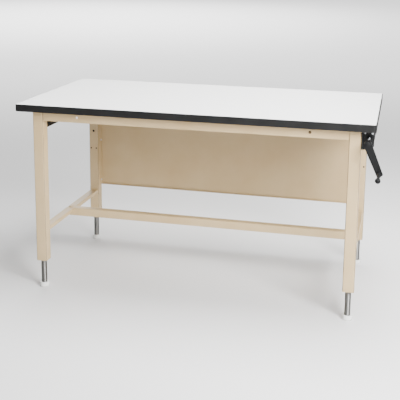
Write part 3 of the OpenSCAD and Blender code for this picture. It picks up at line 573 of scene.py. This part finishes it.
def smooth(piece):
    """Shade the round faces smooth and keep the edges sharp."""
    begin()
    piece.select_set(True)
    bpy.context.view_layer.objects.active = piece
    bpy.ops.object.shade_smooth_by_angle(angle=ROUND_ANGLE)
    return piece


def weld_bead(run):
    """A fillet weld of a given length: overlapping drops of metal, fused into one rippled bead."""
    shape = bpy.context.scene.table_fasteners
    width = shape.bead / MM
    step = shape.ripple / MM
    begin()
    bpy.ops.mesh.primitive_uv_sphere_add(segments=16, ring_count=8, radius=width / 2)
    bead = bpy.context.object
    bead.scale = DROP_SHAPE
    bead.rotation_euler.y = DROP_LEAN
    bpy.ops.object.transform_apply(rotation=True, scale=True)
    edit(bead, "FACE", lambda face: True)
    bpy.ops.transform.translate(value=(0, 0, width / 2 - run / 2))
    begin()
    row = bead.modifiers.new("row", "ARRAY")
    row.count = max(2, round((run - width) / step) + 1)
    row.use_relative_offset = False
    row.use_constant_offset = True
    row.constant_offset_displace = (0, 0, (run - width) / (row.count - 1))
    fuse = bead.modifiers.new("fuse", "REMESH")
    fuse.mode = "VOXEL"
    fuse.voxel_size = width / BEAD_VOXELS
    bead.select_set(True)
    bpy.context.view_layer.objects.active = bead
    bpy.ops.object.modifier_apply(modifier=row.name)
    bpy.ops.object.modifier_apply(modifier=fuse.name)
    return smooth(bead)


def solids_of(node):
    """Lowest and highest corner of each separate solid of a CAD node."""
    begin()
    mesh = frame["nodes"][node].data.copy()
    twin = bpy.data.objects.new("twin", mesh)
    bpy.context.scene.collection.objects.link(twin)
    twin.select_set(True)
    edit(twin, "FACE", lambda face: True)
    bpy.ops.mesh.remove_doubles(threshold=MERGE_GAP)
    bpy.ops.mesh.separate(type="LOOSE")
    bpy.ops.object.mode_set(mode="OBJECT")
    boxes = []
    for part in list(bpy.context.selected_objects):
        places = [vertex.co for vertex in part.data.vertices]
        low = Vector([min(place[k] for place in places) for k in range(3)])
        high = Vector([max(place[k] for place in places) for k in range(3)])
        boxes.append((low, high))
        bpy.data.objects.remove(part)
    # The order goes by hundredths of a millimetre, so it is the same in each run
    return sorted(boxes, key=lambda box: tuple(round(v, 5) for v in box[0] + box[1]))


def set_in_place(model, spots):
    """Copy a model to each seat, pointing in its direction and rolled further each time, as one mesh."""
    copies = []
    for number, (seat, direction) in enumerate(spots):
        copy = bpy.data.objects.new(model.name, model.data.copy())
        bpy.context.scene.collection.objects.link(copy)
        turn = direction.to_track_quat("Z", "Y").to_matrix().to_4x4()
        roll = Matrix.Rotation(number * HEAD_TURN, 4, "Z")
        copy.data.transform(Matrix.Translation(seat) @ turn @ roll @ Matrix.Scale(MM, 4))
        copies.append(copy)
    bpy.data.objects.remove(model)
    return join(copies)


def join(parts):
    """Make several meshes one."""
    begin()
    for part in parts:
        part.select_set(True)
    bpy.context.view_layer.objects.active = parts[0]
    if len(parts) > 1:
        bpy.ops.object.join()
    return bpy.context.object


def present(piece, name, material, slot, *nodes):
    """Name a piece of the leg frame, give it its finish and let it stand for CAD nodes."""
    piece.name = name
    piece.data.name = name
    piece.data.materials.clear()
    piece.data.materials.append(material)
    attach(piece, "frame")
    if nodes:
        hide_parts(*nodes)


# Pieces and stage


class TABLE_OT_worktop(bpy.types.Operator):
    """Finish the laminate, the core, the backing sheet and the edge moulding"""

    bl_idname = "table.worktop"
    bl_label = "Worktop"

    def execute(self, context):
        look = finishes()
        finish(pressed_laminate(), "worktop_laminate")
        finish(extruded_vinyl(), "edge_moulding")
        finish(pressed_chips("particleboard", look.board, look.board_chip, look.chip, roughness=0.8),
               "worktop_core")
        finish(pressed_chips("phenolic_paper", look.backer, look.backer_fibre, look.fibre, roughness=0.55),
               "worktop_backer")
        return {"FINISHED"}


class TABLE_OT_leg_frame(bpy.types.Operator):
    """Finish the legs, aprons, rails, crossbars, stretcher, modesty panel, pump brackets and cylinders"""

    bl_idname = "table.leg_frame"
    bl_label = "Leg frame"

    def execute(self, context):
        look = finishes()
        finish(powder_coat("coated_leg_tube", look.beige, look.beige_thin, tube=True), *each_leg("leg"))
        finish(powder_coat("beige_powder_coat", look.beige, look.beige_thin), "front_apron",
               "rear_apron", "left_crossbar", "right_crossbar", "stretcher", "modesty_panel")
        finish(powder_coat("black_powder_coat", look.black_coat, look.black_coat_thin),
               "left_end_rail", "right_end_rail", "pump_front_bracket", "pump_rear_bracket",
               *each_leg("cylinder"))
        return {"FINISHED"}


class TABLE_OT_lift(bpy.types.Operator):
    """Finish the rods, foot caps, pistons, glands, wiper rings and ports"""

    bl_idname = "table.lift"
    bl_label = "Lift"

    def execute(self, context):
        look = finishes()
        finish(ground_metal("chromed_rod", look.chrome, roughness=0.55), *each_leg("rod"))
        finish(ground_metal("turned_steel", look.steel, roughness=0.5), *each_leg("piston"))
        finish(ground_metal("sintered_bronze", look.bronze, roughness=0.55), *each_leg("gland"))
        finish(moulded_polyethylene(), *each_leg("foot"))
        finish(moulded_nylon("nitrile_rubber", look.rubber, roughness=0.6), "wiper_rings")
        finish(plated_metal("turned_brass", look.brass, look.bronze, roughness=0.28),
               "cylinder_ports", "pump_ports")
        return {"FINISHED"}


class TABLE_OT_crank(bpy.types.Operator):
    """Finish the pump, drive sleeve, bush, crank shaft, arm, hub cap, pin and grip"""

    bl_idname = "table.crank"
    bl_label = "Crank"

    def execute(self, context):
        look = finishes()
        finish(enamelled_casting(), "pump_body")
        finish(drawn_bar(), "crank_shaft", "grip_pin")
        finish(plated_metal("blackened_sleeve", look.oxide, look.black_coat, roughness=0.45), "drive_sleeve")
        finish(powder_coat("crank_enamel", look.crank_enamel, look.crank_enamel_thin, glint=0.2), "crank_arm")
        finish(moulded_nylon("moulded_black_nylon", look.nylon, roughness=0.6),
               "grip", "grip_plug", "hub_cap", "pump_bush")
        return {"FINISHED"}


class TABLE_OT_screws(bpy.types.Operator):
    """Model the screws of the panel, the pump brackets, the cylinder heads and the worktop"""

    bl_idname = "table.screws"
    bl_label = "Screws"

    def execute(self, context):
        look = finishes()
        shape = context.scene.table_fasteners
        zinc = plated_metal("zinc_plate", look.zinc, look.zinc_dull, roughness=0.4)
        browned = plated_metal("browned_steel", look.browned, look.oxide, roughness=0.5)
        pump_middle = sum(corner[1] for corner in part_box("pump_body")) / 2
        frame_middle = sum(corner[1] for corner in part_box("left_crossbar")) / 2
        # Node, finish, slot, and the way that the heads face at a place
        groups = (
            ("panel_screws", zinc, "zinc_fastener",
             lambda x, y: Vector((-math.copysign(1, x), 0, 0))),
            ("pump_screws", zinc, "zinc_fastener",
             lambda x, y: Vector((0, math.copysign(1, y - pump_middle), 0))),
            ("cylinder_screws", browned, "blackened_steel",
             lambda x, y: Vector((0, math.copysign(1, frame_middle - y), 0))),
            ("worktop_screws", zinc, "zinc_fastener",
             lambda x, y: Vector((0, 0, -1))))
        for node, material, slot, facing in groups:
            spots = []
            for low, high in solids_of(node):
                middle = (low + high) / 2
                way = facing(middle.x, middle.y)
                along = max(range(3), key=lambda k: abs(way[k]))
                across = (along + 1) % 3
                head = high[across] - low[across]
                outer = high[along] if way[along] > 0 else low[along]
                seat = middle.copy()
                seat[along] = outer - way[along] * shape.head_height * head
                reach = high[along] - low[along] - shape.head_height * head
                spots.append((seat, way))
            # The screws of a node are alike, so the last one's size is the size of all
            model = pan_screw(head / MM, reach / MM)
            present(set_in_place(model, spots), node + "_detailed", material, slot, node)
        return {"FINISHED"}


class TABLE_OT_bolts(bpy.types.Operator):
    """Model the flange bolts and nuts between the stretcher and the crossbars"""

    bl_idname = "table.bolts"
    bl_label = "Bolts"

    def execute(self, context):
        look = finishes()
        shape = context.scene.table_fasteners
        seat_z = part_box("left_crossbar")[1][2]
        bolts, nuts = [], []
        for box in solids_of("stretcher_bolts"):
            (bolts if box[1].z > seat_z else nuts).append(box)
        low, high = bolts[0]
        corners = max(high.x - low.x, high.y - low.y) / MM
        shank = corners / shape.hexagon_corners
        tip = (low.z - seat_z) / MM
        bolt = flange_hexagon(corners, (high.z - seat_z) / MM)
        nut_top = (nuts[0][1].z - nuts[0][0].z) / MM
        # The lower half of the shank is threaded
        plain = add_disc(shank / 2, tip / 2, OVERLAP, sides=SHANK_SIDES)
        shape_with(bolt, plain, "UNION")
        shape_with(bolt, thread(shank, tip, tip / 2 + OVERLAP), "UNION")
        nut = flange_hexagon(corners, nut_top)
        bore = add_disc(shape.nut_bore * shank / 2, -OVERLAP, nut_top + OVERLAP, sides=SHANK_SIDES)
        shape_with(nut, bore, "DIFFERENCE")
        up, down = Vector((0, 0, 1)), Vector((0, 0, -1))
        bolt_spots = [(Vector(((a.x + b.x) / 2, (a.y + b.y) / 2, seat_z)), up) for a, b in bolts]
        nut_spots = [(Vector(((a.x + b.x) / 2, (a.y + b.y) / 2, b.z)), down) for a, b in nuts]
        pair = [set_in_place(smooth(bolt), bolt_spots), set_in_place(smooth(nut), nut_spots)]
        coat = powder_coat("coated_bolt", look.beige, look.beige_thin)
        present(join(pair), "flange_bolts", coat, "zinc_fastener", "stretcher_bolts")
        return {"FINISHED"}


class TABLE_OT_plug(bpy.types.Operator):
    """Model a push-in plug in the right-hand hole of the front apron, whose dark brown is painted shade for
    the shade seen through that hole
    """

    bl_idname = "table.plug"
    bl_label = "Apron plug"

    def execute(self, context):
        look = finishes()
        shape = context.scene.table_fasteners
        holes = next(mount for mount in frame["record"]["mounts"] if mount["name"] == "apron_holes")
        hole = holes["dims"]["hole_r_mm"]
        stem = hole - shape.plug_play / MM
        rim = hole + shape.plug_rim / MM
        head = shape.plug_head / MM
        plug = add_disc(rim, 0, head, bevel=shape.plug_crown * head, segments=4)
        edit(plug, "FACE", on_level(0))
        bpy.ops.mesh.inset(thickness=rim - stem)
        bpy.ops.mesh.extrude_region_move(TRANSFORM_OT_translate={"value": (0, 0, -shape.plug_stem / MM)})
        bpy.ops.transform.resize(value=(shape.plug_taper, shape.plug_taper, 1))
        begin()
        seat = Vector(holes["pos_m"]) + Vector((holes["dims"]["spacing_x_mm"] / 2 * MM, 0, 0))
        plug = set_in_place(smooth(plug), [(seat, Vector(holes["axis"]))])
        # The plug's brown is painted shade, standing in for the shaded space behind the hole
        hole_shade_brown = moulded_nylon("painted_shade_nylon", look.plug, roughness=0.6)
        present(plug, "apron_hole_shade_plug", hole_shade_brown, "black_nylon")
        return {"FINISHED"}


class TABLE_OT_welds(bpy.types.Operator):
    """Model the fillet welds that hold the crossbars and the end rails to the legs"""

    bl_idname = "table.welds"
    bl_label = "Welds"

    def execute(self, context):
        look = finishes()
        shape = context.scene.table_fasteners
        across, up = Vector((1, 0, 0)), Vector((0, 0, 1))
        sides, tops = [], []
        for side in ("left", "right"):
            low, high = (Vector(corner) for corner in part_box(side + "_crossbar"))
            for y in (low.y, high.y):
                tops.append((Vector(((low.x + high.x) / 2, y, high.z)), across))
                for x in (low.x, high.x):
                    sides.append((Vector((x, y, (low.z + high.z - shape.bar_corner) / 2)), up))
        # Both crossbars are alike, so the last one's size is the size of both
        side_bead = weld_bead((high.z - low.z - shape.bar_corner) / MM)
        top_bead = weld_bead((high.x - low.x - 2 * shape.bar_corner) / MM)
        coat = powder_coat("coated_weld", look.beige, look.beige_thin)
        beads = join([set_in_place(side_bead, sides), set_in_place(top_bead, tops)])
        present(beads, "crossbar_welds", coat, "beige_paint")
        spots = []
        for side, sign in (("left", -1), ("right", 1)):
            low, high = (Vector(corner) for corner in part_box(side + "_end_rail"))
            web_x = (high.x if sign < 0 else low.x) + sign * shape.rail_sheet
            for y in (low.y, high.y):
                spots.append((Vector((web_x, y, (low.z + high.z) / 2)), up))
        # The end rails are alike as well
        beads = set_in_place(weld_bead((high.z - low.z - 2 * shape.weld_end) / MM), spots)
        black = powder_coat("black_coated_weld", look.black_coat, look.black_coat_thin)
        present(beads, "end_rail_welds", black, "black_paint")
        return {"FINISHED"}


class TABLE_OT_stage(bpy.types.Operator):
    """Set up the floor, the lights and the camera"""

    bl_idname = "table.stage"
    bl_label = "Stage"

    def execute(self, context):
        stage = context.scene.table_stage
        self.lay_floor(stage)
        self.light(context, stage)
        self.aim_camera(context, stage)
        return {"FINISHED"}

    def lay_floor(self, stage):
        """A pale floor that glows where the lights no longer reach, and a pale surround."""
        begin()
        bpy.ops.mesh.primitive_plane_add(size=2 * stage.reach)
        floor = bpy.context.object
        floor.name = "studio_floor"
        material, tree, place = new_material("studio_paper")
        below_back = (stage.back_place.x, stage.back_place.y, 0)
        glow = stage.glow
        for middle, (near, far) in (((0, 0, 0), stage.table_pool), (below_back, stage.back_pool)):
            distance = add_node(tree, "VectorMath", {"operation": "DISTANCE", 0: place, 1: middle})["Value"]
            away = add_node(tree, "MapRange", {
                "interpolation_type": "SMOOTHSTEP", "Value": distance,
                "From Min": near, "From Max": far})["Result"]
            glow = add_node(tree, "Math", {"operation": "MULTIPLY", 0: glow, 1: away})["Value"]
        shader = add_node(tree, "BsdfPrincipled", {
            "Base Color": stage.floor, "Roughness": 0.9,
            "Emission Color": stage.floor, "Emission Strength": glow})["BSDF"]
        add_node(tree, "OutputMaterial", {"Surface": shader})
        floor.data.materials.append(material)
        # The feet stand on the floor at every height of the lift, so the floor goes with a rod
        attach(floor, "ram_front_left")
        bpy.ops.mesh.primitive_uv_sphere_add(radius=stage.reach)
        surround = bpy.context.object
        surround.name = "studio_surround"
        paper, tree, _ = new_material("glowing_paper")
        shader = add_node(tree, "BsdfPrincipled", {
            "Base Color": (0, 0, 0, 1),
            "Emission Color": stage.floor, "Emission Strength": stage.glow})["BSDF"]
        add_node(tree, "OutputMaterial", {"Surface": shader})
        surround.data.materials.append(paper)
        # It is there to be seen, and lights nothing
        surround.visible_diffuse = False
        surround.visible_glossy = False
        surround.visible_shadow = False

    def light(self, context, stage):
        """A key light on the right, lights over the worktop and the floor behind, and some all round."""
        down = Vector((0, 0, -1))
        for name, place, size, watts, aim in (
                ("key", stage.key_place, stage.lamp_size, stage.key_power, TABLE_MIDDLE - stage.key_place),
                ("top", stage.top_place, stage.lamp_size, stage.top_power, down),
                ("back", stage.back_place, stage.back_size, stage.back_power, down)):
            lamp = bpy.data.lights.new(name, "AREA")
            lamp.size = size
            lamp.energy = watts
            holder = bpy.data.objects.new(name, lamp)
            holder.location = place
            holder.rotation_euler = aim.to_track_quat("-Z", "Y").to_euler()
            context.scene.collection.objects.link(holder)
        world = bpy.data.worlds.new("even_light")
        world.use_nodes = True
        backdrop = world.node_tree.nodes["Background"].inputs
        backdrop["Strength"].default_value = stage.sky
        backdrop["Color"].default_value = (1, 1, 1, 1)
        context.scene.world = world

    def aim_camera(self, context, stage):
        """A camera at the photograph's place, shifted as its frame is."""
        lens = bpy.data.cameras.new("camera")
        lens.sensor_width = SENSOR_WIDTH
        lens.lens = stage.focal_pixels / PICTURE_WIDTH * SENSOR_WIDTH
        lens.shift_x = 0.5 - stage.centre_x / PICTURE_WIDTH
        lens.shift_y = stage.centre_y / PICTURE_WIDTH - 0.5
        holder = bpy.data.objects.new("camera", lens)
        turn = (Matrix.Rotation(stage.yaw, 4, "Z") @ Matrix.Rotation(stage.pitch, 4, "X")
                @ Matrix.Rotation(stage.roll, 4, "Z"))
        holder.matrix_world = Matrix.Translation(stage.camera_place) @ turn
        context.scene.collection.objects.link(holder)
        context.scene.camera = holder


OPERATORS = (TABLE_OT_worktop, TABLE_OT_leg_frame, TABLE_OT_lift, TABLE_OT_crank, TABLE_OT_screws,
             TABLE_OT_bolts, TABLE_OT_plug, TABLE_OT_welds, TABLE_OT_stage)
GROUPS = {"table_finishes": TableFinishes, "table_fasteners": TableFasteners, "table_stage": TableStage}


class TABLE_PT_sidebar(bpy.types.Panel):
    """Lists the table's pieces, and the sizes and colours that they are made with"""

    bl_label = "Work Table"
    bl_space_type = "VIEW_3D"
    bl_region_type = "UI"
    bl_category = "Work Table"

    def draw(self, context):
        for operator in OPERATORS:
            self.layout.operator(operator.bl_idname)
        for key, group in GROUPS.items():
            column = self.layout.column()
            for name in group.__annotations__:
                column.prop(getattr(context.scene, key), name)


CLASSES = (*GROUPS.values(), *OPERATORS, TABLE_PT_sidebar)


def register():
    for cls in CLASSES:
        bpy.utils.register_class(cls)
    for key, group in GROUPS.items():
        setattr(bpy.types.Scene, key, PointerProperty(type=group))


def unregister():
    for key in GROUPS:
        delattr(bpy.types.Scene, key)
    for cls in reversed(CLASSES):
        bpy.utils.unregister_class(cls)


def main():
    register()
    bpy.ops.table.worktop()
    bpy.ops.table.leg_frame()
    bpy.ops.table.lift()
    bpy.ops.table.crank()
    bpy.ops.table.screws()
    bpy.ops.table.bolts()
    bpy.ops.table.plug()
    bpy.ops.table.welds()
    bpy.ops.table.stage()


if __name__ == "__main__":
    main()
